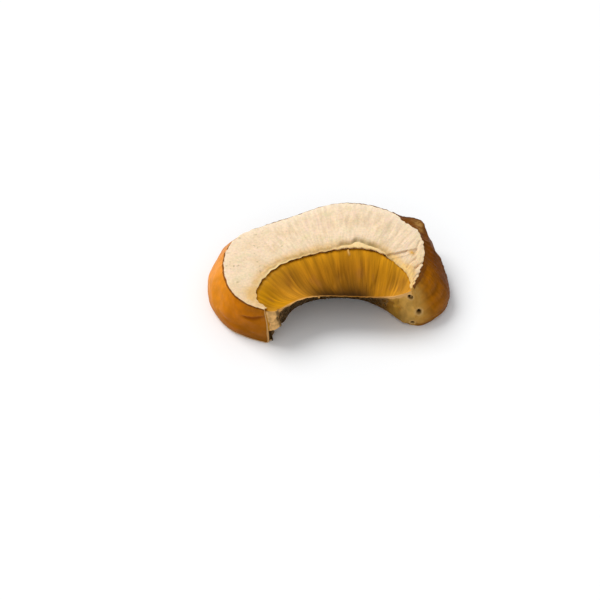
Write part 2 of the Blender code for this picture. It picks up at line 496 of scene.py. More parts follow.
@dataclass(frozen=True)
class Grain:
    """One layer of relief on a piece.

    Its pattern is a random one, width wide along the first axis of the grain that it
    follows, length long along the other two and depth thick. It is cut where the attribute
    named mask says.
    """

    title: str
    mask: str
    relief: Relief
    width: float = 1.0
    length: float = 1.0
    depth: float = 1.0
    seed: int = 0
    follows: str = "grain"

    def carve(self, nodes: Nodes, sizes: dict[str, Socket]) -> Socket:
        """How deep this layer cuts at a point, in millimetres."""
        mask = nodes.add("GeometryNodeInputNamedAttribute", {"data_type": "FLOAT"}, Name=self.mask)
        depth = nodes.math("MULTIPLY", sizes["Depth"], mask.outputs[0])
        if self.relief is Relief.PLAIN:
            return depth
        where = nodes.add("GeometryNodeInputNamedAttribute", {"data_type": "FLOAT_VECTOR"}, Name=self.follows)
        grain = nodes.separate(where.outputs[0])
        run = nodes.math("DIVIDE", grain[0], sizes["Width"])
        reach = nodes.math("DIVIDE", grain[1], sizes["Length"])
        rise = nodes.math("DIVIDE", grain[2], sizes["Length"])
        noise = nodes.add(
            "ShaderNodeTexNoise", {"noise_dimensions": "4D"},
            Vector=nodes.combine(run, reach, rise), W=sizes["Seed"], Scale=0.5, Detail=1.5,
        ).outputs[0]
        if self.relief is Relief.SOFT:
            shape = nodes.remap(noise, 0.3, 0.7)
        else:
            away = nodes.math("ABSOLUTE", nodes.math("SUBTRACT", noise, 0.5))
            reach_of_valley = 0.16 if self.relief is Relief.FOLDED else 0.05
            shape = nodes.remap(away, 0.0, reach_of_valley, 1.0, 0.0)
        return nodes.math("MULTIPLY", shape, depth)


class GeometryTree(Nodes):
    """A Geometry Nodes tree with named inputs."""

    def __init__(self, name: str) -> None:
        """Starts a tree with a geometry input and a geometry output."""
        super().__init__(bpy.data.node_groups.new(name, "GeometryNodeTree"))
        self.identifiers: dict[str, str] = {}
        self.tree.interface.new_socket("Geometry", in_out="INPUT", socket_type="NodeSocketGeometry")
        self.tree.interface.new_socket("Geometry", in_out="OUTPUT", socket_type="NodeSocketGeometry")
        self.entry = self.tree.nodes.new("NodeGroupInput")
        self.exit = self.tree.nodes.new("NodeGroupOutput")

    def ask(self, title: str, kind: str) -> Socket:
        """A new named input of the tree."""
        item = self.tree.interface.new_socket(title, in_out="INPUT", socket_type=f"NodeSocket{kind}")
        self.identifiers[title] = item.identifier
        return self.entry.outputs[title]

    def finish(self, geometry: Socket, materials: list[tuple[Socket, Socket | None]]) -> None:
        """Ends the tree: instances realized, and each material set on its share of the faces."""
        geometry = self.add("GeometryNodeRealizeInstances", Geometry=geometry).outputs[0]
        for material, share in materials:
            node = self.add("GeometryNodeSetMaterial", Geometry=geometry, Material=material)
            if share is not None:
                self.feed(node, "Selection", share)
            geometry = node.outputs[0]
        self.feed(self.exit, 0, geometry)

    def apply(self, target: bpy.types.Object, values: dict[str, object]) -> None:
        """Runs the tree on an object and leaves it a plain mesh.

        Args:
            target: The object, with no modifier of its own.
            values: What the tree's named inputs are set to.
        """
        modifier = target.modifiers.new(self.tree.name, "NODES")
        modifier.node_group = self.tree
        for title, value in values.items():
            modifier[self.identifiers[title]] = value
        depsgraph = bpy.context.evaluated_depsgraph_get()
        made = bpy.data.meshes.new_from_object(
            target.evaluated_get(depsgraph), preserve_all_data_layers=True, depsgraph=depsgraph
        )
        target.modifiers.remove(modifier)
        old = target.data
        target.data = made
        made.name = target.name
        bpy.data.meshes.remove(old)


@dataclass(frozen=True)
class Finish:
    """A material, and the mask of the faces that wear it. With no mask, all faces do."""

    material: bpy.types.Material
    mask: str = ""


def carve(target: bpy.types.Object, layers: list[Grain], finishes: list[Finish]) -> None:
    """Cuts layers of relief into a piece and sets its materials, by one tree.

    How deep the relief is at each point, in millimetres, stays on the piece as the attribute cut, for its
    materials, which darken the deeper relief as painted shade.

    Args:
        target: The piece, with the attributes that its layers follow.
        layers: The layers of relief.
        finishes: Its materials, the one that covers most faces first.
    """
    tree = GeometryTree(f"{target.name}_relief")
    values: dict[str, object] = {}
    total: Socket | None = None
    for layer in layers:
        sizes = {}
        parts = {"Width": layer.width, "Length": layer.length, "Depth": layer.depth, "Seed": layer.seed}
        for part, value in parts.items():
            title = f"{layer.title} {part}"
            sizes[part] = tree.ask(title, "Float")
            values[title] = float(value)
        depth = layer.carve(tree, sizes)
        total = depth if total is None else tree.math("ADD", total, depth)
    stored = tree.add(
        "GeometryNodeStoreNamedAttribute", {"data_type": "FLOAT", "domain": "POINT"},
        Geometry=tree.entry.outputs[0], Name="cut", Value=total,
    )
    depth = tree.add("GeometryNodeInputNamedAttribute", {"data_type": "FLOAT"}, Name="cut")
    normal = tree.add("GeometryNodeInputNormal").outputs[0]
    inwards = tree.add("ShaderNodeVectorMath", {"operation": "SCALE"}, Vector=normal)
    tree.feed(inwards, "Scale", tree.math("MULTIPLY", depth.outputs[0], -MM))
    moved = tree.add("GeometryNodeSetPosition", Geometry=stored.outputs[0], Offset=inwards.outputs[0])
    worn: list[tuple[Socket, Socket | None]] = []
    for number, finish in enumerate(finishes):
        title = f"Finish {number}"
        material = tree.ask(title, "Material")
        values[title] = finish.material
        share = None
        if finish.mask:
            mask = tree.add("GeometryNodeInputNamedAttribute", {"data_type": "FLOAT"}, Name=finish.mask)
            share = tree.math("GREATER_THAN", mask.outputs[0], 0.5)
        worn.append((material, share))
    tree.finish(moved.outputs[0], worn)
    tree.apply(target, values)


# Finishes


@dataclass(frozen=True)
class Tone:
    """A colour as seen on a screen, red, green and blue up to 255."""

    red: int
    green: int
    blue: int

    @property
    def linear(self) -> tuple[float, float, float, float]:
        """The colour as the light that it sends back."""
        shares = [value / 255 for value in (self.red, self.green, self.blue)]
        red, green, blue = (
            share / 12.92 if share <= 0.04045 else ((share + 0.055) / 1.055) ** 2.4 for share in shares
        )
        return red, green, blue, 1.0


class Paint(Nodes):
    """A material's node tree, with the steps that the finishes share."""

    def __init__(self, name: str, roughness: float) -> None:
        """Starts a material with one Principled shader."""
        self.material = bpy.data.materials.new(name)
        self.material.use_nodes = True
        super().__init__(self.material.node_tree)
        self.shader = self.tree.nodes["Principled BSDF"]
        self.shader.inputs["Roughness"].default_value = roughness

    def value(self, name: str) -> Socket:
        """A point attribute, as a number."""
        return self.add("ShaderNodeAttribute", {"attribute_name": name}).outputs["Fac"]

    def gloss(self, level: float, tint: Tone | None = None) -> None:
        """Sets how much light the surface mirrors, and in what colour."""
        self.shader.inputs["Specular IOR Level"].default_value = level
        if tint is not None:
            self.shader.inputs["Specular Tint"].default_value = tint.linear

    def grain(self, width: float, length: float, name: str = "grain") -> Socket:
        """A grain of the piece, in units of a width along its first axis and a length across."""
        where = self.add("ShaderNodeAttribute", {"attribute_name": name})
        node = self.add("ShaderNodeVectorMath", {"operation": "MULTIPLY"})
        self.feed(node, 0, where.outputs["Vector"])
        self.feed(node, 1, (1 / width, 1 / length, 1 / length))
        return node.outputs[0]

    def noise(self, vector: Socket | None, size: float, detail: float = 2.0) -> Socket:
        """Random values from 0 to 1. Without a vector the size is one of Object coordinates."""
        if vector is None:
            vector = self.add("ShaderNodeTexCoord").outputs["Object"]
            size = size * MM
        node = self.add("ShaderNodeTexNoise", Vector=vector, Scale=1 / size, Detail=detail)
        return node.outputs[0]

    def blend(self, first: object, second: object, share: object) -> Socket:
        """Two colours mixed."""
        node = self.add("ShaderNodeMix", {"data_type": "RGBA"})
        self.feed(node, 0, share)
        for place, colour in ((6, first), (7, second)):
            self.feed(node, place, colour.linear if isinstance(colour, Tone) else colour)
        return node.outputs[2]

    def shade(
        self, colour: Socket, share: Socket, low: float, high: float, start: float = 0.0, end: float = 1.0
    ) -> Socket:
        """A colour made darker or lighter, from low where the share is at start to high at end."""
        node = self.add("ShaderNodeVectorMath", {"operation": "SCALE"})
        self.feed(node, 0, colour)
        self.feed(node, "Scale", self.remap(share, start, end, low, high))
        return node.outputs[0]

    def ramp(self, share: Socket, stops: list[tuple[float, Tone]]) -> Socket:
        """A row of colours along a share from 0 to 1."""
        node = self.add("ShaderNodeValToRGB", Fac=share)
        band = node.color_ramp
        band.interpolation = "EASE"
        while len(band.elements) < len(stops):
            band.elements.new(0.5)
        for element, (place, tone) in zip(band.elements, stops):
            element.position = place
            element.color = tone.linear
        return node.outputs[0]

    def bumped(self, height: Socket, distance: float, strength: float, below: Socket | None = None) -> Socket:
        """A bump's normal, over another bump if one is given. The distance is in millimetres."""
        node = self.add("ShaderNodeBump", Height=height, Distance=distance * MM, Strength=strength)
        if below is not None:
            self.feed(node, "Normal", below)
        return node.outputs[0]

    def done(self, colour: Socket, normal: Socket) -> bpy.types.Material:
        """The finished material."""
        self.feed(self.shader, "Base Color", colour)
        self.feed(self.shader, "Normal", normal)
        return self.material


@dataclass(frozen=True)
class FleshFinish:
    """Dried flesh: cream, matt, warmer by the tubes and at its tips, specked at the left, with painted shade in
    its deep relief, its trough and the foot of its left tip.
    """

    cream: Tone = Tone(240, 214, 180)
    warm_cream: Tone = Tone(226, 184, 120)
    shaded_cream: Tone = Tone(224, 194, 150)
    green_cream: Tone = Tone(228, 212, 168)
    pink_cream: Tone = Tone(248, 216, 190)
    gold_cream: Tone = Tone(248, 204, 130)
    pale: Tone = Tone(248, 226, 196)
    # deep: painted shade, the tone that the deeper relief is darkened towards
    deep: Tone = Tone(196, 146, 84)
    yellow: Tone = Tone(222, 166, 70)
    speck: Tone = Tone(158, 140, 98)
    skin_line: Tone = Tone(112, 66, 20)
    # trough: painted shade, the dark grey-green of the valley over the tubes
    trough: Tone = Tone(138, 120, 68)
    fringe: Tone = Tone(255, 226, 166)
    foot_shade: Tone = Tone(70, 46, 14)

    def material(self) -> bpy.types.Material:
        """Builds the material."""
        paint = Paint("dried_flesh", 0.88)
        mottle = paint.noise(None, 3.2, 3.0)
        colour = paint.blend(self.cream, self.shaded_cream, paint.remap(mottle, 0.46, 0.72, 0.0, 0.45))
        green = paint.remap(paint.noise(None, 2.3, 2.0), 0.5, 0.72, 0.0, 0.55)
        colour = paint.blend(colour, self.green_cream, green)
        pink = paint.remap(paint.noise(paint.grain(1.3, 2.6), 1.0, 2.0), 0.5, 0.72, 0.0, 0.6)
        colour = paint.blend(colour, self.pink_cream, pink)
        uneven = paint.remap(paint.noise(None, 1.6, 3.0), 0.2, 0.7, 0.7, 1.1)
        warmth = paint.math("MULTIPLY", paint.value("warm"), uneven)
        colour = paint.blend(colour, self.warm_cream, warmth)
        colour = paint.blend(colour, self.pale, paint.math("MULTIPLY", paint.value("pale"), 0.8))
        streak = paint.noise(paint.grain(0.55, 3.5), 1.0, 2.0)
        streaked = paint.shade(colour, streak, 0.9, 1.06, 0.25, 0.75)
        colour = paint.blend(colour, streaked, paint.value("fibres"))
        gold = paint.remap(paint.noise(paint.grain(1.0, 3.0), 1.0, 2.0), 0.35, 0.6, 0.35, 1.0)
        colour = paint.blend(colour, self.gold_cream, paint.math("MULTIPLY", paint.value("gold"), gold))
        colour = paint.shade(colour, paint.noise(None, 0.5, 3.0), 0.93, 1.05, 0.3, 0.7)
        # Painted shade: the flesh darkens where its relief is cut deep
        colour = paint.blend(colour, self.deep, paint.remap(paint.value("cut"), 0.3, 1.1, 0.0, 0.75))
        # Painted shade in the trough over the tubes
        colour = paint.blend(colour, self.trough, paint.math("MULTIPLY", paint.value("trough"), 0.85))
        colour = paint.blend(colour, self.fringe, paint.math("MULTIPLY", paint.value("fringe"), 0.75))
        colour = paint.blend(colour, self.yellow, paint.value("pit"))
        colour = paint.blend(colour, self.foot_shade, paint.value("foot"))
        dots = paint.noise(None, 0.85, 1.5)
        field = paint.noise(None, 3.0, 1.0)
        dotted = paint.math("MULTIPLY", paint.remap(dots, 0.6, 0.74, 0.0, 0.6), paint.remap(field, 0.42, 0.6))
        colour = paint.blend(colour, self.speck, paint.math("MULTIPLY", dotted, paint.value("specks")))
        broken = paint.noise(None, 1.5, 2.0)
        line = paint.remap(paint.math("SUBTRACT", paint.value("rim"), broken), 0.15, 0.35)
        colour = paint.blend(colour, self.skin_line, line)
        fibres = paint.bumped(streak, 0.06, 0.35)
        crumb = paint.bumped(paint.noise(None, 0.4, 4.0), 0.06, 0.7, fibres)
        paint.shader.inputs["Subsurface Weight"].default_value = 0.1
        paint.shader.inputs["Subsurface Radius"].default_value = (1.0, 0.55, 0.25)
        paint.shader.inputs["Subsurface Scale"].default_value = 1.0 * MM
        paint.gloss(0.2)
        return paint.done(colour, crumb)


@dataclass(frozen=True)
class SkinFinish:
    """The cap's skin: bright orange-tan at the left arm, chestnut at the back, golden at the right, with painted
    shade low down and in its relief, and a painted highlight at the left end.
    """

    roughness: float = 0.55
    sheen: Tone = Tone(255, 205, 130)
    edge_line: Tone = Tone(116, 64, 10)
    # gap: painted shade, the dark tone of the narrow gap at the left end
    gap: Tone = Tone(66, 42, 8)
    # end_highlight: a painted highlight down the left end, by the skin's rounded corner
    end_highlight: Tone = Tone(206, 158, 98)
    flap_light: Tone = Tone(166, 122, 62)
    # dent: painted shade in the shallow crescent dent of the left arm
    dent: Tone = Tone(136, 66, 0)
    margin: Tone = Tone(190, 142, 66)
    # hole: painted shade, near black inside the insect holes
    hole: Tone = Tone(34, 18, 6)
    hole_rim: Tone = Tone(214, 174, 112)
    fleck: Tone = Tone(196, 150, 96)

    def material(self) -> bpy.types.Material:
        """Builds the material."""
        paint = Paint("dried_skin", self.roughness)
        wide = paint.noise(None, 4.5, 2.0)
        drift = paint.math("MULTIPLY", paint.math("SUBTRACT", wide, 0.5), 0.07)
        colour = paint.ramp(paint.math("ADD", paint.value("along"), drift), [
            (0.0, Tone(162, 96, 4)), (0.035, Tone(166, 94, 0)), (0.08, Tone(190, 108, 0)),
            (0.13, Tone(210, 126, 10)), (0.2, Tone(222, 140, 50)), (0.26, Tone(204, 130, 58)),
            (0.34, Tone(140, 82, 30)), (0.46, Tone(98, 54, 18)), (0.66, Tone(92, 50, 14)),
            (0.8, Tone(104, 56, 4)), (0.875, Tone(112, 58, 2)), (0.94, Tone(146, 84, 0)),
            (0.97, Tone(158, 98, 12)), (1.0, Tone(192, 140, 60)),
        ])
        # Painted shade: the skin darker towards its lower edge
        colour = paint.shade(colour, paint.value("rise"), 0.7, 1.0, 0.0, 0.6)
        mottled = paint.shade(colour, paint.noise(None, 1.7, 4.0), 0.74, 1.24, 0.25, 0.75)
        leather = paint.noise(paint.grain(1.5, 0.8, "hide"), 1.0, 4.0)
        mottled = paint.shade(mottled, leather, 0.84, 1.14, 0.25, 0.75)
        colour = paint.blend(colour, mottled, paint.value("aged"))
        # Painted shade: the skin darkens where its relief is cut deep
        colour = paint.shade(colour, paint.value("cut"), 1.12, 0.42, 0.15, 1.5)
        # Painted shade in the valleys of the skin's folds
        colour = paint.shade(colour, paint.value("fold_shade"), 1.0, 0.84)
        # Painted shade in the crescent dent
        colour = paint.blend(colour, self.dent, paint.math("MULTIPLY", paint.value("dent"), 0.85))
        worn = paint.remap(paint.noise(None, 0.9, 3.0), 0.36, 0.6, 0.25, 1.0)
        colour = paint.blend(colour, self.flap_light, paint.math("MULTIPLY", paint.value("flap"), worn))
        flecks = paint.remap(paint.noise(None, 0.8, 2.0), 0.67, 0.74, 0.0, 0.55)
        colour = paint.blend(colour, self.fleck, paint.math("MULTIPLY", flecks, paint.value("dark")))
        lumps = paint.remap(paint.noise(None, 1.1, 3.0), 0.3, 0.65, 0.55, 1.0)
        colour = paint.blend(colour, self.margin, paint.math("MULTIPLY", paint.value("margin"), lumps))
        edge = paint.math("ADD", paint.value("edge"), paint.math("MULTIPLY", paint.noise(None, 0.9, 2.0), 0.4))
        colour = paint.blend(colour, self.edge_line, paint.remap(edge, 0.55, 0.95, 0.0, 0.9))
        # Painted shade in the gap at the left end and under the shrunken tubes
        colour = paint.blend(colour, self.gap, paint.value("gap"))
        # Painted highlight down the left end, by the skin's rounded corner
        colour = paint.blend(colour, self.end_highlight, paint.value("end_highlight"))
        colour = paint.blend(colour, self.hole_rim, paint.value("hole_rim"))
        # Painted shade inside the insect holes
        colour = paint.blend(colour, self.hole, paint.value("hole"))
        fine = paint.bumped(paint.noise(None, 0.4, 4.0), 0.06, 0.55)
        rough = paint.bumped(leather, 0.2, 0.8, fine)
        paint.gloss(0.16, self.sheen)
        return paint.done(colour, rough)


@dataclass(frozen=True)
class TubeFinish:
    """Dried tubes: ochre, streaked, with painted shade towards the middle of the pores, in their cuts and under
    the flesh, and pale at their lip.
    """

    sheen: Tone = Tone(255, 210, 130)
    seam_gold: Tone = Tone(204, 140, 16)
    # dish_shade: painted shade towards the middle of the dished tubes, away from the flesh
    dish_shade: Tone = Tone(50, 26, 0)
    umber: Tone = Tone(150, 94, 36)
    lip: Tone = Tone(226, 174, 104)
    lip_dark: Tone = Tone(146, 96, 34)
    pale_edge: Tone = Tone(226, 178, 104)
    # seam_shadow: a painted shadow line under the edge of the flesh
    seam_shadow: Tone = Tone(118, 70, 6)
    mouth: Tone = Tone(255, 214, 160)
    # hole: painted shade, near black inside the insect holes
    hole: Tone = Tone(34, 18, 6)
    hole_rim: Tone = Tone(214, 174, 112)

    def material(self) -> bpy.types.Material:
        """Builds the material."""
        paint = Paint("dried_tubes", 0.72)
        along = paint.value("along")
        colour = paint.ramp(along, [
            (0.0, Tone(196, 138, 36)), (0.1, Tone(184, 126, 4)), (0.25, Tone(190, 128, 28)),
            (0.45, Tone(182, 119, 18)), (0.62, Tone(178, 115, 18)), (0.78, Tone(180, 119, 12)),
            (1.0, Tone(194, 135, 40)),
        ])
        colour = paint.blend(colour, self.seam_gold, paint.remap(paint.value("reach"), 0.0, 0.35, 0.6, 0.0))
        # Painted shade: the tubes darken towards the pores in the middle of the arch
        middle = paint.math("MULTIPLY", paint.remap(paint.value("reach"), 0.25, 0.95), paint.value("centre"))
        colour = paint.blend(colour, self.dish_shade, middle)
        patch = paint.remap(paint.noise(paint.grain(3.0, 4.5), 1.0, 2.0), 0.5, 0.72, 0.0, 0.7)
        colour = paint.blend(colour, self.umber, paint.math("MULTIPLY", patch, paint.value("ribs")))
        streak = paint.noise(paint.grain(0.55, 7.0), 1.0, 2.0)
        streaked = paint.shade(colour, streak, 0.76, 1.22, 0.28, 0.72)
        patches = paint.remap(paint.noise(None, 2.6, 2.0), 0.3, 0.65, 0.35, 1.0)
        colour = paint.blend(colour, streaked, patches)
        broad = paint.noise(paint.grain(2.0, 12.0), 1.0, 1.5)
        colour = paint.shade(colour, broad, 0.84, 1.12, 0.3, 0.7)
        # Painted shade: the tubes darken where their relief is cut deep
        colour = paint.shade(colour, paint.value("cut"), 1.06, 0.66, 0.08, 0.6)
        # The pores' own olive-brown, made much darker in the middle of the arch as painted shade; pale at the left
        # end, golden at the right
        pores = paint.ramp(along, [
            (0.0, Tone(226, 176, 110)), (0.012, Tone(140, 100, 48)), (0.05, Tone(78, 50, 18)),
            (0.2, Tone(70, 42, 10)), (0.7, Tone(80, 48, 8)), (0.83, Tone(134, 88, 20)),
            (0.91, Tone(192, 140, 50)), (1.0, Tone(204, 156, 76)),
        ])
        crumbs = paint.noise(None, 0.9, 3.0)
        crumbed = paint.shade(pores, crumbs, 0.74, 1.2, 0.3, 0.7)
        clouds = paint.shade(pores, paint.noise(None, 1.7, 2.0), 0.84, 1.12, 0.3, 0.7)
        pores = paint.blend(crumbed, clouds, paint.value("smooth_end"))
        # Painted shade: the pore face darker towards its foot
        pores = paint.shade(pores, paint.value("rise"), 0.66, 1.0, 0.0, 0.45)
        # Painted shade: the left end face darker towards the inside and low down
        pores = paint.shade(pores, paint.value("turned"), 1.0, 0.3)
        # Painted shade in the dished middle of each pore mouth
        pores = paint.shade(pores, paint.value("hollow"), 1.0, 0.25)
        colour = paint.blend(colour, pores, paint.value("pores"))
        bright = paint.blend(self.lip_dark, self.lip, paint.value("lip_light"))
        colour = paint.blend(colour, bright, paint.value("lip"))
        colour = paint.blend(colour, self.pale_edge, paint.value("pale_edge"))
        # Painted shadow under the edge of the flesh, along the seam
        colour = paint.blend(colour, self.seam_shadow, paint.value("seam_shadow"))
        colour = paint.blend(colour, self.hole_rim, paint.value("hole_rim"))
        # Painted shade inside the insect holes
        colour = paint.blend(colour, self.hole, paint.value("hole"))
        lit = paint.add("ShaderNodeMix", {"data_type": "RGBA", "blend_type": "SCREEN"})
        rim = paint.math("MULTIPLY", paint.value("mouth"), paint.math("SUBTRACT", 1.0, paint.value("hollow")))
        for place, item in ((0, paint.math("MULTIPLY", rim, 0.16)), (6, colour), (7, self.mouth.linear)):
            paint.feed(lit, place, item)
        ribs = paint.bumped(streak, 0.14, 0.7)
        fine = paint.bumped(paint.noise(None, 0.3, 3.0), 0.04, 0.5, ribs)
        paint.gloss(0.22, self.sheen)
        return paint.done(lit.outputs[2], fine)


# The cap


@dataclass
class Cap:
    """The arch of flesh with its skin, made of one bent block."""

    drawing: Drawing
    name: str = "porcini_cap"
    block: Block = Block((520, 48, 42), (0.0, 0.55, 0.5))
    crown: float = 0.3
    edge_overhang: float = 0.14
    seam_wander: float = 0.13
    end_bulge: tuple[float, float] = (0.1, 0.3)
    skin_lift: tuple[float, float] = (0.4, 0.6)
    ledge_depth: float = 0.62
    ledge_width: float = 0.42
    ledge_places: Points = (
        (-15.2, 0.3), (-11.0, 0.5), (-5.0, 0.6), (0.6, 0.6), (2.6, 1.2), (4.3, 1.45), (5.6, 1.9), (6.8, 2.25), (8.2, 1.75), (9.4, 1.35),
        (11.1, 1.4), (12.9, 0.7), (14.2, 0.0),
    )
    crease: Fold = Fold(Outline((
        (12.6, 4.3), (14.2, 4.5), (15.7, 5.0), (17.0, 5.5),
    )), 0.36, 0.42)
    flesh_folds: tuple[Fold, ...] = (
        Fold(Outline(((13.8, 3.5), (15.2, 3.8), (16.6, 4.3))), 0.3, 0.12),
        Fold(Outline(((-14.0, -0.4), (-12.6, 1.1), (-10.6, 2.4), (-8.6, 3.4))), 0.16, 0.14),
        Fold(Outline(((19.6, 8.3), (19.0, 6.6), (18.3, 4.9))), 0.22, 0.3),
        Fold(Outline(((18.4, 3.6), (17.4, 2.5), (16.6, 1.2))), 0.2, 0.25),
        Fold(Outline(((20.2, 2.6), (19.2, 2.0), (18.3, 1.2))), 0.22, 0.4),
        Fold(Outline(((19.4, -0.2), (18.6, -0.9), (17.9, -2.0))), 0.2, 0.25),
    )
    skin_folds: tuple[Fold, ...] = (
        Fold(Outline(((7.4, 3.4), (5.6, 2.9), (3.8, 2.9), (2.2, 2.2))), 0.45, 0.15),
        Fold(Outline(((64.8, 9.9), (63.4, 9.4), (62.1, 9.1), (60.6, 9.2))), 0.35, 0.24),
        Fold(Outline(((64.6, 6.2), (63.8, 6.5), (62.8, 6.7), (61.8, 6.8), (60.4, 7.0))), 0.42, 0.26),
        Fold(Outline(((64.4, 7.8), (63.1, 8.1), (62.0, 8.3), (60.6, 8.3))), 0.3, 0.14),
        Fold(Outline(((63.6, 4.2), (62.5, 5.0), (61.6, 5.2), (60.2, 5.0))), 0.4, 0.18),
        Fold(Outline(((62.6, 1.6), (61.0, 2.0), (59.0, 1.4))), 0.4, 0.12),
    )
    crescent_top: Outline = Outline(((4.2, 6.25), (3.3, 6.6), (2.6, 6.95), (2.0, 7.2), (1.3, 7.55), (0.2, 8.2)))
    crescent_foot: Outline = Outline(((4.2, 6.2), (3.6, 6.0), (2.9, 5.85), (2.1, 6.05), (1.4, 6.65), (0.2, 7.9)))
    crescent_depth: float = 0.3
    pit: tuple[float, float] = (17.8, 5.2)
    run_length: float = field(init=False)

    def __post_init__(self) -> None:
        """Works out the mean length of the arch."""
        self.run_length = (self.drawing.outer_front.length + self.drawing.seam_front.length) / 2

    def swell(self, along: Array, up: Array) -> Array:
        """Broad shrinkage forms of the skin and its uneven upper edge, outwards."""
        waves = np.sin(along * 61 + up * 5) * 0.6 + np.sin(along * 103 - up * 7 + 1.3) * 0.4
        left_dent = 0.5 * bump(along, 0.06, 0.05) * bump(up, 0.42, 0.25)
        flap = 2.0 * bump(along, 0.762, 0.052) * bump(up, 0.87, 0.13)
        flap_groove = 0.8 * bump(along, 0.764, 0.042) * bump(up, 0.985, 0.05)
        right = ease(along, 0.5, 0.8)
        lift = self.skin_lift[0] + (self.skin_lift[1] - self.skin_lift[0]) * ease(along, 0.25, 0.4)
        at_rim = 1 - ease(along, 0.25, 0.4)
        lift = lift * ease(up, 0.0, 0.12) * (1 - (1 - at_rim) * ease(up, 0.85, 0.99))
        lift = lift * ease(along, 0.0, 0.08) * (1 - ease(along, 0.93, 1.0))
        ripple = np.sin(along * 173) * 0.6 + np.sin(along * 307 + 0.7) * 0.4
        teeth = wander(along * self.run_length, 0.75, 31) * (0.04 + 0.05 * right)
        size = 0.07 + 0.06 * right + 0.07 * bump(along, 0.28, 0.2)
        pucker = (size * ripple + teeth) * np.clip(up * 4 - 3, 0, 1)
        calm = 1 - 0.75 * ease(along, 0.78, 0.86)
        return 0.3 * calm * waves * bump(up, 0.55, 0.45) - left_dent + flap - flap_groove + pucker + lift

    def ledge(self, place: Array, reach: Array) -> tuple[Array, Array]:
        """The trough over the tubes and the raised fringe between it and them.

        Args:
            place: Places in the drawing.
            reach: How far each is from the tubes.

        Returns:
            How strong the trough is at each place, and how strong the fringe.
        """
        x = place[:, 0]
        edge = np.array(self.ledge_places)
        width = np.interp(x, edge[:, 0], edge[:, 1], 0, 0)
        uneven = 0.1 * wander(x, 3.0, 4)
        rising = 0.4 * ease(x, -14.5, -11.5) + 0.6 * ease(x, 0.8, 5.4)
        strength = rising * (1 - 0.5 * ease(x, 9.5, 12.0)) * (0.8 + 0.2 * wander(x, 2.2, 5))
        away = reach - (width + uneven - 0.2)
        breadth = self.ledge_width * (0.5 + 0.5 * rising)
        trough = strength * np.exp(-((away / np.where(away < 0, 0.75, 1.5) / breadth) ** 2))
        fringe = strength * ease(-away, 0.35, 0.65) * ease(reach, 0.0, 0.3)
        return trough, fringe

    def front_relief(self, place: Array, reach: Array) -> Array:
        """The relief of the upper cut face: the trough over the tubes and the drop below the crease."""
        x, y = place.T
        trough, fringe = self.ledge(place, reach)
        away = self.crease.line.distance(place)
        within = ease(x, 11.8, 13.0) * ease(y, -2.0, 1.5) * (1 - ease(x, 18.4, 19.6))
        lip = 0.14 * np.exp(-(((away - 0.35) / 0.28) ** 2))
        ridge = 0.2 * np.exp(-(((away + 0.75) / 0.35) ** 2))
        lower = 0.28 * ease(-away, 0.0, 0.5) * (1 - ease(-away, 2.0, 6.0))
        return within * (lip + ridge - lower) - self.ledge_depth * trough + 0.1 * fringe

    def points(self, shares: Array) -> tuple[Array, Array, Array]:
        """Bends the block.

        Args:
            shares: The shares along, across and up of each point.

        Returns:
            The points, their places in the drawing, and how far each is from the tubes.
        """
        along, across, up = shares.T
        drawing = self.drawing
        outwards = drawing.outer_back.at(along) - drawing.seam_back.at(along)
        outwards = outwards / np.linalg.norm(outwards, axis=-1, keepdims=True)
        skin = drawing.skin(along, up) + outwards * self.swell(along, up)[:, None]
        seam = mix(drawing.seam_back.at(along), drawing.seam_front.at(along), up)
        run = along * self.run_length
        uneven = self.seam_wander * wander(run, 2.6, 2) * ease(up, 0.8, 1.0)
        overhang = self.edge_overhang * ease(up, 0.93, 1.0) + uneven
        seam = seam + drawing.seam_front.inward(along) * overhang[:, None]
        place = mix(seam, skin, across) + drawing.end_round(along, across, seam, skin, self.end_bulge)
        reach = across * np.linalg.norm(skin - seam, axis=-1)
        crown = self.crown * np.sin(math.pi * across)
        relief = self.front_relief(place, reach) * ease(up, 0.6, 1.0)
        top = drawing.thickness + crown + drawing.warp(place) + relief
        return drawing.in_space(place, up * top), place, reach

    def soften(self, points: Array, quads: Array, shares: Array) -> Array:
        """Rounds the edges a little, and the right tip a lot."""
        along, across, up = shares.T
        edge = np.minimum(across, 1 - across) * 12
        level = np.minimum(up, 1 - up) * self.drawing.thickness
        corner = np.sort(np.stack([edge, level], axis=-1), axis=-1)[:, 1]
        points = softened(points, quads, 0.6 * (1 - ease(corner, 0.1, 0.5)), 3)
        points = softened(points, quads, 0.5 * ease(along, 0.975, 0.992) * ease(up, 0.0, 0.05), 4)
        points[:, 2] = np.maximum(points[:, 2], 0.0)
        return self.drawing.rounded_tips(points)

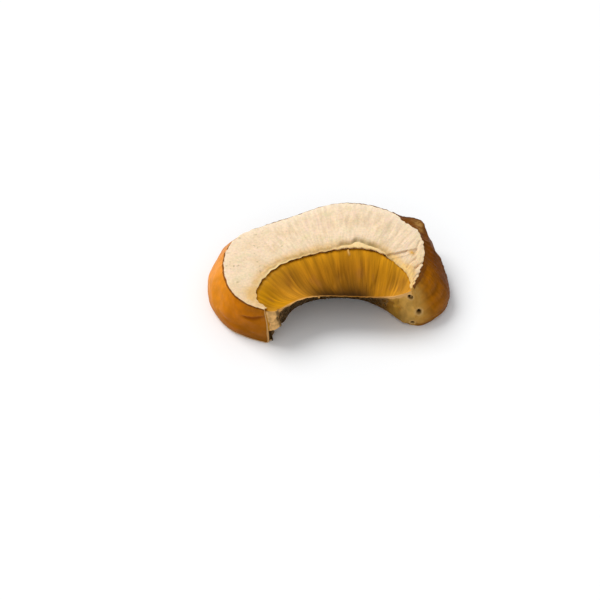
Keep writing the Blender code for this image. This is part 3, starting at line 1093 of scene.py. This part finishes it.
    def masks(self, shares: Array, points: Array, place: Array, reach: Array) -> dict[str, Array]:
        """The attributes that the relief and the finishes follow.

        Args:
            shares: The shares along, across and up of each point.
            points: The points, in millimetres.
            place: Their places in the drawing.
            reach: How far each is from the tubes.

        Returns:
            The attributes by name.
        """
        along, across, up = shares.T
        outer = self.drawing.outer_front.at(along)
        to_skin = (1 - across) * np.linalg.norm(outer - self.drawing.seam_front.at(along), axis=-1)
        cut = ((up >= 1) | (up <= 0)).astype(float)
        skin = ((across >= 1) | (along <= 0) | (along >= 1)).astype(float)
        side = (across >= 1).astype(float)
        run = along * self.run_length
        height = up * self.drawing.thickness
        shear = 1.1 * ease(along, 0.78, 0.95)
        grain = np.stack([run + shear * reach, reach, height], axis=-1)
        slant = 0.9 * ease(along, 0.82, 0.94)
        hide = np.stack([height - slant * run, run, np.zeros_like(run)], axis=-1)
        right = ease(along, 0.8, 0.9)
        left = 1 - ease(along, 0.06, 0.16)
        trough, fringe = self.ledge(place, reach)
        middle = ease(along, 0.25, 0.4) * (1 - ease(along, 0.72, 0.82))
        by_tubes = 1 - ease(reach, 0.6, 3.0)
        warm = 0.9 * by_tubes + 0.4 * right * (1 - ease(to_skin, 3.0, 7.0)) + 0.6 * left
        upper = (up >= 1).astype(float)
        flesh_valleys = sum(fold.valley(place) for fold in (self.crease, *self.flesh_folds)) * upper
        on_skin = np.stack([run, height], axis=-1)
        skin_valleys = sum(fold.valley(on_skin) for fold in self.skin_folds) * side
        below_top = ease(self.crescent_top.distance(on_skin), -0.05, 0.25)
        dent = below_top * ease(-self.crescent_foot.distance(on_skin), -0.2, 0.4) * (run < 4.2) * side
        pit = np.exp(-((np.linalg.norm(place - np.array(self.pit), axis=1) / 0.55) ** 2)) * upper
        back = ease(along, 0.28, 0.42)
        flap = bump(along, 0.776, 0.034) * bump(up, 0.93, 0.055)
        end = np.where(along >= 1, 1.0, 0.0)
        left_end = np.where(along <= 0, 1.0, 0.0)
        # foot: the low part of the left end, under the shrunken tubes, where painted shade goes
        foot = (1 - ease(up, 0.24, 0.42)) * (1 - ease(across, 0.72, 0.85))
        return {
            "grain": grain,
            "hide": hide,
            "along": along,
            "rise": up,
            # foot: painted shade on the flesh's end wall under the shrunken tubes at the left tip
            "foot": (across <= 0) * (1 - ease(along, 0.03, 0.06)) * (1 - ease(up, 0.26, 0.45)),
            "rim": cut * (1 - ease(to_skin, 0.05, 0.5 + 0.45 * bump(along, 0.66, 0.12)))
            * (0.55 + 0.45 * back) * ease(along, 0.002, 0.02),
            # trough: where painted shade darkens the valley over the tubes
            "trough": np.clip(trough, 0, 1) * upper,
            "fringe": np.clip(fringe + self.seam_fringe(along, reach), 0, 1) * upper,
            # gap: painted shade in the groove of the left end and low down under the tubes
            "gap": left_end * np.clip(bump(across, 0.66, 0.2) + foot, 0, 1),
            # A painted highlight on the left end face, next to the skin
            "end_highlight": left_end * ease(across, 0.8, 0.9),
            "warm": np.clip(warm, 0, 1),
            "pale": cut * (1 - ease(to_skin, 0.4, 2.6)) * (0.3 + 0.7 * middle),
            "specks": cut * (1 - ease(along, 0.3, 0.5)),
            "pit": np.clip(pit, 0, 1),
            "skin": skin,
            "pleats": cut * (0.25 + 0.75 * middle) * bump(across, 0.62, 0.45),
            "strands": cut * (0.12 + 0.88 * ease(along, 0.66, 0.84)) * bump(across, 0.5, 0.52),
            "crumb": cut * (1 - 0.6 * ease(along, 0.35, 0.55)) * bump(across, 0.5, 0.5),
            "swell": cut * bump(across, 0.5, 0.5),
            "serration": (1 - ease(to_skin, 0.0, 0.7)) * (0.25 + 0.75 * right) * ease(up, 0.8, 1.0) * (1 - skin),
            "gold": ease(along, 0.76, 0.84) * (1 - ease(reach, 0.6, 1.8)) * upper,
            "dent": dent,
            "valleys": np.clip(flesh_valleys, 0, 1) + np.clip(skin_valleys, 0, 1) + self.crescent_depth * dent,
            # fold_shade: where painted shade darkens the skin's fold valleys
            "fold_shade": np.clip(2.2 * skin_valleys, 0, 1),
            "folds": side * (0.4 + 0.6 * ease(along, 0.22, 0.4)) * (1 - 0.85 * ease(along, 0.76, 0.84)),
            "wrinkles": side * (0.3 + 0.7 * ease(along, 0.22, 0.42)) * (1 - 0.72 * right) * ease(up, 0.0, 0.06),
            "margin": np.clip(end + side * ease(along, 0.955, 0.992) * ease(up, 0.0, 0.2), 0, 1),
            "edge": side * ease(up, 0.9, 0.985),
            "flap": np.clip(1.3 * flap, 0, 1),
            "dark": side * back * (1 - ease(along, 0.8, 0.88)),
            "fibres": 0.3 + 0.7 * ease(along, 0.22, 0.42),
            "aged": (0.35 + 0.65 * ease(along, 0.24, 0.4)) * (1 - 0.3 * right),
            **{name: value * skin for name, value in self.drawing.bored(points).items()},
        }

    def seam_fringe(self, along: Array, reach: Array) -> Array:
        """The pale fringe that the flesh has at the left, right beside the tubes."""
        return 0.9 * bump(along, 0.26, 0.17) * (1 - ease(reach, 0.35, 0.7))

    def build(self) -> bpy.types.Object:
        """Builds the mesh with its attributes."""
        shares, quads, _ = self.block.lattice()
        points, place, reach = self.points(shares)
        points = self.soften(points, quads, shares)
        values = self.masks(shares, points, place, reach)
        return mesh_object(self.name, points, outward_quads(points, quads), values)

    def dress(self, piece: bpy.types.Object) -> None:
        """Cuts the fine relief and sets the flesh and the skin."""
        layers = [
            Grain("Swell", "swell", Relief.SOFT, 6.0, 5.0, 0.3, 21),
            Grain("Pleat", "pleats", Relief.SOFT, 1.1, 3.2, 0.26, 3),
            Grain("Strand", "strands", Relief.FOLDED, 0.8, 4.0, 0.17, 11),
            Grain("Crumb", "crumb", Relief.SOFT, 0.6, 0.6, 0.09, 17),
            Grain("Serration", "serration", Relief.SOFT, 0.5, 3.0, 0.2, 5),
            Grain("Fold", "folds", Relief.SOFT, 5.0, 7.0, 0.7, 23, "hide"),
            Grain("Wrinkle", "wrinkles", Relief.FOLDED, 1.6, 3.0, 0.34, 8, "hide"),
            Grain("Leather", "wrinkles", Relief.FOLDED, 0.75, 1.1, 0.12, 9, "hide"),
            Grain("Valley", "valleys", Relief.PLAIN),
            Grain("Gap", "gap", Relief.PLAIN, depth=0.35),
            Grain("Hole", "holes", Relief.PLAIN),
        ]
        finishes = [Finish(FleshFinish().material()), Finish(SkinFinish().material(), "skin")]
        carve(piece, layers, finishes)
        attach(piece, BODY)
        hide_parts("cap")


# The tubes


@dataclass
class TubeLayer:
    """The shrunken layer of tubes inside the arch, one bent block."""

    drawing: Drawing
    name: str = "porcini_tubes"
    block: Block = Block((460, 44, 56), (0.0, 0.4, 0.3))
    back_height: float = 0.4
    back_hollow: float = 0.8
    shrinkage: float = 2.1
    step_at_seam: float = 0.5
    step_at_pores: float = 1.2
    pore_hollow: float = 1.6
    seam_lap: float = 0.13
    lip_rise: float = 0.4
    end_bulge: tuple[float, float] = (0.6, 0.15)
    end_cover: tuple[float, float] = (0.6, 0.97)
    end_proud: tuple[float, float] = (0.25, 0.2)
    end_pull: float = 2.2
    torn_strands: tuple[Outline, ...] = (
        Outline(((4.4, 6.2), (4.4, 5.5), (4.6, 4.9))), Outline(((-13.5, 0.0), (-13.2, -0.6), (-13.0, -1.2))),
    )
    dots: tuple[Hole, ...] = (Hole((-1.9, -5.2, 8.0), 0.3, 0.5), Hole((-10.3, -8.8, 8.6), 0.26, 0.4))

    def seam(self, along: Array, up: Array) -> Array:
        """The side towards the flesh. At both tips it laps over the end of the flesh."""
        drawing = self.drawing
        gap = -self.seam_lap - 0.25 * ease(np.abs(along - 0.5), 0.42, 0.5)
        front = drawing.seam_front.at(along) + gap[:, None] * drawing.seam_front.inward(along)
        back = drawing.seam_back.at(along) + gap[:, None] * drawing.seam_back.inward(along)
        side = mix(back, front, up)
        left, right = 1 - ease(along, 0.0, 0.02), ease(along, 0.98, 1.0)
        lap = self.end_cover[0] * left + self.end_cover[1] * right
        side = mix(side, drawing.skin(along, up), lap)
        return side + drawing.heading(along) * (self.end_proud[1] * right - self.end_proud[0] * left)[:, None]

    def pull(self, along: Array, up: Array) -> Array:
        """How far the layer shrank back from the foot of its left tip, in the drawing."""
        share = (1 - ease(along, 0.0, 0.1)) * (1 - ease(up, 0.22, 0.42))
        return self.drawing.heading(along) * (self.end_pull * share)[:, None]

    def points(self, shares: Array) -> tuple[Array, Array, Array]:
        """Bends the block.

        Args:
            shares: The shares along, across and up of each point.

        Returns:
            The points, their places in the drawing, and how far each is from the flesh.
        """
        along, across, up = shares.T
        drawing = self.drawing
        seam = self.seam(along, up)
        middle = np.sin(math.pi * np.clip(along, 0, 1)) ** 0.7
        belly = np.sin(math.pi * up) ** 1.5
        hollow = self.pore_hollow * belly * middle
        pores = mix(drawing.pores_back.at(along), drawing.pores_front.at(along), up)
        run = along * drawing.seam_front.length
        lumps = 0.3 * wander(np.stack([run, up * 9], axis=-1), 2.2, 21) * belly
        pores = pores - (hollow + lumps)[:, None] * drawing.pores_back.inward(along)
        place = mix(seam, pores, across) + drawing.end_round(along, across, seam, pores, self.end_bulge)
        place = place + self.pull(along, up)
        reach = across * np.linalg.norm(pores - seam, axis=-1)
        dish = self.shrinkage * bump(across, 0.6, 0.6) * middle
        step = self.step_at_seam + (self.step_at_pores - self.step_at_seam) * across
        lip = self.lip_rise * bump(across, 1.0, 0.08) * (0.75 + 0.25 * wander(run, 3.0, 6))
        grooves = 0.3 * wander(np.stack([run, reach * 0.2], axis=-1), 3.0, 9) * bump(across, 0.55, 0.5)
        top = drawing.thickness + drawing.warp(place) - step - dish + lip + grooves * middle
        top = top + 0.35 * self.strand(place) * ease(up, 0.9, 1.0)
        bottom = self.back_height + self.back_hollow * bump(across, 0.6, 0.6) * middle
        return drawing.in_space(place, bottom + (top - bottom) * up), place, reach

    def strand(self, place: Array) -> Array:
        """Where strands of flesh hang over the tubes."""
        return sum(np.exp(-((line.distance(place) / 0.2) ** 2)) for line in self.torn_strands)

    def masks(self, shares: Array, points: Array, place: Array, reach: Array) -> dict[str, Array]:
        """The attributes that the relief and the finish follow.

        Args:
            shares: The shares along, across and up of each point.
            points: The points, in millimetres.
            place: Their places in the drawing.
            reach: How far each is from the flesh.

        Returns:
            The attributes by name.
        """
        along, across, up = shares.T
        run = along * self.drawing.seam_front.length
        ends = (along <= 0) | (along >= 1)
        pores = ((across >= 1) | ends).astype(float)
        cut = ((up >= 1) | (up <= 0)).astype(float)
        upper = (up >= 1).astype(float)
        tips = np.clip(1 - ease(along, 0.0, 0.06) + ease(along, 0.95, 1.0), 0, 1)
        light = np.interp(along, (0.0, 0.3, 0.42, 0.62, 0.78, 0.88, 1.0), (0.8, 0.75, 0.25, 0.0, 0.25, 0.9, 1.0))
        width = 0.05 + 0.07 * light
        over = upper * np.clip((across - 1 + width) / (0.4 * width), 0, 1)
        faces = (across >= 1) + (along >= 1) * ease(across, 0.0, 0.45)
        under = np.clip(faces, 0, 1) * ease(up, 0.86 - 0.06 * light, 0.93 - 0.06 * light)
        lip = np.maximum(over, under)
        in_drawing = points + np.array((*self.drawing.centre, 0.0))
        dots = sum(dot.within(in_drawing * (1, 1, 0), 1.0) for dot in self.flat_dots()) * upper
        seam_left = bump(along, 0.2, 0.16)
        uneven = 0.12 * wander(run, 1.2, 41)
        # A painted shadow line under the flesh's edge, along the seam
        line = (1 - ease(reach + uneven - self.seam_lap, 0.05, 0.45)) * (0.65 + 0.35 * wander(run, 3.5, 43))
        strand = self.strand(place) * upper
        covered = (across >= 1) & (up > 0.06) & (up < 0.74)
        low_left = 1 - ease(up, 0.12, 0.36)
        edge = np.exp(-(((reach + uneven - 0.75) / 0.2) ** 2)) * seam_left * upper
        return {
            "grain": np.stack([run, reach, up * 9], axis=-1),
            "along": along,
            "rise": up,
            "reach": across,
            # centre: where the painted shade of the dished tubes is laid
            "centre": ease(along, 0.22, 0.4) * (1 - ease(along, 0.64, 0.84)),
            "pores": pores,
            "pits": pores * ease(up, 0.0, 0.2) * (1 - ease(up, 0.6, 0.95)) * (1 - 0.9 * ease(along, 0.76, 0.87)),
            "smooth_end": ease(along, 0.8, 0.88),
            "mouths": (covered & (along > 0.04) & (along < 0.84)).astype(float),
            # turned: where the left end face is darkened as painted shade
            "turned": np.where(along <= 0, np.maximum(ease(across, 0.4, 0.7), low_left), 0.0),
            "hollow": np.zeros_like(along),
            "lip": np.clip(lip, 0, 1),
            "lip_light": light,
            "ribs": cut * (1 - 0.6 * tips) * bump(across, 0.47, 0.46) * (0.75 + 0.25 * ease(along, 0.55, 0.75)),
            "seam_shadow": line * upper * (1 - 0.5 * tips),
            "pale_edge": np.clip(0.12 * edge + strand, 0, 1),
            "dots": np.clip(dots, 0, 1),
            "mouth": np.zeros_like(along),
            **{name: value * pores for name, value in self.drawing.bored(points).items()},
        }

    def flat_dots(self) -> list[Hole]:
        """The dark dots as holes at height 0, to be tested against the drawing alone."""
        return [Hole((dot.place[0], dot.place[1], 0.0), dot.radius, dot.depth) for dot in self.dots]

    def build(self) -> bpy.types.Object:
        """Builds the mesh with its attributes."""
        shares, quads, _ = self.block.lattice()
        along, across, up = shares.T
        points, place, reach = self.points(shares)
        edge = np.minimum(across, 1 - across) * 9
        level = np.minimum(up, 1 - up) * 9
        corner = np.sort(np.stack([edge, level], axis=-1), axis=-1)[:, 1]
        points = softened(points, quads, 0.6 * (1 - ease(corner, 0.1, 0.45)), 3)
        points = softened(points, quads, 0.6 * ease(along, 0.93, 0.98) * ease(across, 0.0, 0.1) * (up < 0.92), 40)
        points = self.drawing.rounded_tips(points)
        values = self.masks(shares, points, place, reach)
        return mesh_object(self.name, points, outward_quads(points, quads), values)

    def dress(self, piece: bpy.types.Object) -> None:
        """Cuts the ribs and sets the finish."""
        layers = [
            Grain("Rib", "ribs", Relief.FOLDED, 0.8, 9.0, 0.11, 4),
            Grain("Ridge", "ribs", Relief.SOFT, 2.4, 14.0, 0.3, 24),
            Grain("Groove", "ribs", Relief.GROOVED, 1.9, 10.0, 0.18, 14),
            Grain("Lump", "pits", Relief.SOFT, 1.5, 1.5, 0.4, 27),
            Grain("Pit", "pits", Relief.SOFT, 0.6, 0.6, 0.2, 7),
            Grain("Dot", "dots", Relief.PLAIN, depth=0.5),
            Grain("Hole", "holes", Relief.PLAIN),
        ]
        carve(piece, layers, [Finish(TubeFinish().material())])
        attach(piece, BODY)
        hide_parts("tube_layer")


@dataclass
class PoreMouths:
    """The mouths of the tubes: small cups strewn over the pore face of the tube layer."""

    name: str = "porcini_pore_mouths"
    spacing: float = 0.47
    radius: float = 0.26
    height: float = 0.3
    hollow: float = 0.14
    sides: int = 8
    seed: int = 12

    def cup(self, tree: GeometryTree, radius: Socket, height: Socket, hollow: Socket) -> Socket:
        """One mouth, a short closed cylinder with a dished top.

        Args:
            tree: The tree that it is made in.
            radius: The outer radius.
            height: The height of the cylinder, half of which is buried.
            hollow: How deep the dish is.

        Returns:
            The mouth, with its dish marked by the attribute hollow.
        """
        body = tree.add(
            "GeometryNodeMeshCylinder", {"fill_type": "TRIANGLE_FAN"}, Vertices=self.sides,
            Fill_Segments=2, Radius=radius, Depth=height,
        )
        x, y, z = tree.separate(tree.add("GeometryNodeInputPosition").outputs[0])
        away = tree.math("SQRT", tree.math("ADD", tree.math("MULTIPLY", x, x), tree.math("MULTIPLY", y, y)))
        inner = tree.math("LESS_THAN", away, tree.math("MULTIPLY", radius, 0.75))
        dished = tree.math("MULTIPLY", inner, tree.math("GREATER_THAN", z, 0.0))
        marked = tree.add(
            "GeometryNodeStoreNamedAttribute", {"data_type": "FLOAT", "domain": "POINT"},
            Geometry=body.outputs["Mesh"], Name="hollow", Value=dished,
        )
        down = tree.math("MULTIPLY", tree.math("MULTIPLY", dished, hollow), -1.0)
        sunk = tree.add("GeometryNodeSetPosition", Geometry=marked.outputs[0], Offset=tree.combine(0.0, 0.0, down))
        return sunk.outputs[0]

    def build(self, tubes: bpy.types.Object) -> bpy.types.Object:
        """Strews the mouths over a copy of the tube layer.

        Args:
            tubes: The tube layer, already carved.

        Returns:
            The mouths, one mesh.
        """
        piece = bpy.data.objects.new(self.name, tubes.data.copy())
        bpy.context.scene.collection.objects.link(piece)
        tree = GeometryTree(self.name)
        spacing = tree.ask("Spacing", "Float")
        radius = tree.ask("Radius", "Float")
        height = tree.ask("Height", "Float")
        hollow = tree.ask("Hollow", "Float")
        seed = tree.ask("Seed", "Int")
        material = tree.ask("Finish", "Material")
        mask = tree.add("GeometryNodeInputNamedAttribute", {"data_type": "FLOAT"}, Name="mouths")
        strewn = tree.add(
            "GeometryNodeDistributePointsOnFaces", {"distribute_method": "POISSON"},
            Mesh=tree.entry.outputs[0], Selection=tree.math("GREATER_THAN", mask.outputs[0], 0.9),
            Distance_Min=spacing, Density_Max=2.0e7, Seed=seed,
        )
        size = tree.add("FunctionNodeRandomValue", {"data_type": "FLOAT_VECTOR"}, Seed=seed)
        tree.feed(size, 0, (0.7, 0.7, 0.75))
        tree.feed(size, 1, (1.15, 1.15, 1.15))
        placed = tree.add(
            "GeometryNodeInstanceOnPoints", Points=strewn.outputs["Points"],
            Instance=self.cup(tree, radius, height, hollow),
            Rotation=strewn.outputs["Rotation"], Scale=size.outputs[0],
        )
        marked = tree.add(
            "GeometryNodeStoreNamedAttribute", {"data_type": "FLOAT", "domain": "INSTANCE"},
            Geometry=placed.outputs[0], Name="mouth", Value=1.0,
        )
        tree.finish(marked.outputs[0], [(material, None)])
        tree.apply(piece, {
            "Spacing": self.spacing * MM, "Radius": self.radius * MM, "Height": self.height * MM,
            "Hollow": self.hollow * MM, "Seed": self.seed, "Finish": tubes.data.materials[0],
        })
        piece.data.shade_smooth()
        return piece

    def dress(self, piece: bpy.types.Object) -> None:
        """Lets the mouths ride with the tubes. They took the tubes' finish when they were strewn."""
        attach(piece, BODY)


# The studio


@dataclass
class Studio:
    """A plain pale floor, soft light and the camera."""

    elevation: float = 52.0
    distance: float = 350.0
    aim: tuple[float, float, float] = (-5.9, -12.8, 10.0)
    lens: float = 101.9
    key_from: tuple[float, float, float] = (-0.5, 0.42, 0.76)
    key_power: float = 2.0
    key_width: float = 34.0
    sky: tuple[float, float, float, float] = (0.97, 0.985, 1.0, 1.0)
    sky_strength: float = 0.6

    def floor(self) -> None:
        """Lays a wide plain floor under the slice."""
        half = 50000.0
        corners = np.array([(-half, -half, 0), (half, -half, 0), (half, half, 0), (-half, half, 0)], float)
        floor = mesh_object("floor", corners, np.array([[0, 1, 2, 3]]), {})
        paint = Paint("pale_floor", 0.6)
        paint.shader.inputs["Base Color"].default_value = (0.96, 0.96, 0.96, 1.0)
        floor.data.materials.append(paint.material)

    def sun(self) -> None:
        """Hangs one wide soft light, up at the left and behind."""
        data = bpy.data.lights.new("key", "SUN")
        data.energy = self.key_power
        data.angle = math.radians(self.key_width)
        lamp = bpy.data.objects.new("key", data)
        bpy.context.scene.collection.objects.link(lamp)
        lamp.rotation_euler = (-Vector(self.key_from)).to_track_quat("-Z", "Y").to_euler()

    def camera(self) -> None:
        """Sets the camera at the photograph's angle and framing."""
        data = bpy.data.cameras.new("camera")
        data.lens = self.lens
        data.sensor_width = 36.0
        data.clip_start = 0.01
        camera = bpy.data.objects.new("camera", data)
        bpy.context.scene.collection.objects.link(camera)
        tilt = math.radians(self.elevation)
        back = Vector((0, -math.cos(tilt), math.sin(tilt)))
        camera.location = (Vector(self.aim) + back * self.distance) * MM
        camera.rotation_euler = (-back).to_track_quat("-Z", "Y").to_euler()
        bpy.context.scene.camera = camera

    def build(self) -> None:
        """Builds the whole studio."""
        self.floor()
        self.sun()
        world = bpy.data.worlds.new("studio")
        world.use_nodes = True
        background = world.node_tree.nodes["Background"]
        background.inputs["Color"].default_value = self.sky
        background.inputs["Strength"].default_value = self.sky_strength
        bpy.context.scene.world = world
        bpy.context.scene.view_settings.view_transform = "Standard"
        self.camera()


def main() -> None:
    """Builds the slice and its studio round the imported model."""
    logging.basicConfig(level=logging.INFO, format="%(name)s: %(message)s")
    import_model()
    drawing = Drawing()
    cap = Cap(drawing)
    flesh = cap.build()
    cap.dress(flesh)
    layer = TubeLayer(drawing)
    tubes = layer.build()
    layer.dress(tubes)
    mouths = PoreMouths()
    cups = mouths.build(tubes)
    mouths.dress(cups)
    for piece in (flesh, tubes, cups):
        LOG.info("%s: %d faces", piece.name, len(piece.data.polygons))
    Studio().build()


if __name__ == "__main__":
    main()
